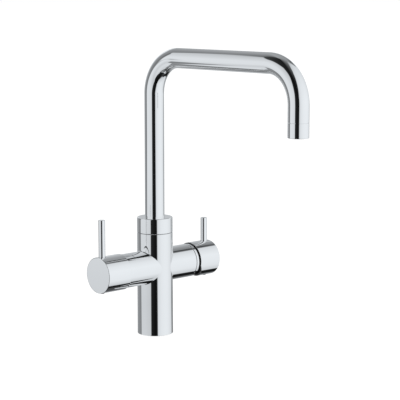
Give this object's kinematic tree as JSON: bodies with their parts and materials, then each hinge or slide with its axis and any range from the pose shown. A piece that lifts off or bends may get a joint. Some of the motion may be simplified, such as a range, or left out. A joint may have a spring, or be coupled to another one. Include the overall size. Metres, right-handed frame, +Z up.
{
  "type": "three way filtered water tap",
  "caption": "Kitchen tap with a swivelling square-bend spout, a quarter-turn filtered water handle on the left arm and a tilting mixer handle on the right arm.",
  "frame": {"origin": "centre of the base's underside, on the worktop", "axes": "+Z up along the column; +X along the right (mixer) arm; the spout points to -Y"},
  "size_m": [0.1878, 0.2852, 0.3677],
  "materials": {
    "chrome_body": "mirror polished chrome plate on brass",
    "chrome_spout": "mirror polished chrome plate on brass tube",
    "chrome_handles": "mirror polished chrome plate",
    "seal_rubber": "matt black",
    "bare_brass": "machined",
    "white_nylon": "moulded",
    "grey_nylon": "moulded",
    "inner_tube_plastic": "extruded, translucent white",
    "ceramic": "lapped",
    "steel": "turned",
    "plug_grey": "moulded, dark"
  },
  "bodies": {
    "tap_body": {"body_casting": "chrome_body", "base_o_ring": "seal_rubber", "swivel_nipple": "bare_brass", "swivel_o_rings": "seal_rubber", "swivel_slip_ring": "white_nylon", "filtered_water_spigot": "bare_brass", "filter_cartridge_body": "bare_brass", "filter_seat_seal": "seal_rubber", "filter_fixed_disc": "ceramic", "mixer_port_seals": "seal_rubber", "mixer_cartridge_base": "white_nylon", "mixer_fixed_disc": "ceramic", "mixer_cartridge_housing": "white_nylon", "mixer_cartridge_nut": "bare_brass", "mixer_trim_ring": "chrome_body"},
    "spout": {"spout_collar": "chrome_spout", "spout_grub_screw": "steel", "spout_tube": "chrome_spout", "filtered_water_tube": "inner_tube_plastic", "aerator_housing": "chrome_spout", "aerator_insert": "white_nylon", "aerator_washer": "seal_rubber"},
    "filter_handle": {"filter_handle_cap": "chrome_handles", "filter_lever_pin": "chrome_handles", "filter_handle_screw": "steel", "filter_screw_plug": "plug_grey", "filter_spindle": "bare_brass", "filter_spindle_o_rings": "seal_rubber", "filter_spline_bush": "white_nylon", "filter_moving_disc": "ceramic"},
    "mixer_rotor": {"mixer_rotor": "grey_nylon", "mixer_pivot_pin": "steel"},
    "mixer_handle": {"mixer_handle_cap": "chrome_handles", "mixer_lever_pin": "chrome_handles", "mixer_handle_screw": "steel", "mixer_screw_plug": "plug_grey", "mixer_stem": "steel"},
    "mixer_disc": {"mixer_disc_carrier": "grey_nylon", "mixer_moving_disc": "ceramic"}
  },
  "joints": [
    {"name": "spout_swivel", "type": "hinge", "parent": "tap_body", "child": "spout", "pos_m": [0, 0, 0.1319], "axis": [0, 0, 1], "continuous": true},
    {"name": "filter_valve_turn", "type": "hinge", "parent": "tap_body", "child": "filter_handle", "pos_m": [-0.06, 0, 0.0875], "axis": [1, 0, 0], "range_deg": [0, 90]},
    {"name": "mixer_temperature", "type": "hinge", "parent": "tap_body", "child": "mixer_rotor", "pos_m": [0.05, 0, 0.0875], "axis": [1, 0, 0], "range_deg": [-45, 45]},
    {"name": "mixer_flow", "type": "hinge", "parent": "mixer_rotor", "child": "mixer_handle", "pos_m": [0.05, 0, 0.0875], "axis": [0, 1, 0], "range_deg": [0, 18]},
    {"name": "mixer_disc_slide", "type": "slide", "parent": "mixer_rotor", "child": "mixer_disc", "axis": [0, 0, 1], "range_m": [0, 0.0038]}
  ],
  "couplings": [
    {"joint": "mixer_disc_slide", "follows": "mixer_flow", "m_per_rad": 0.012}
  ]
}
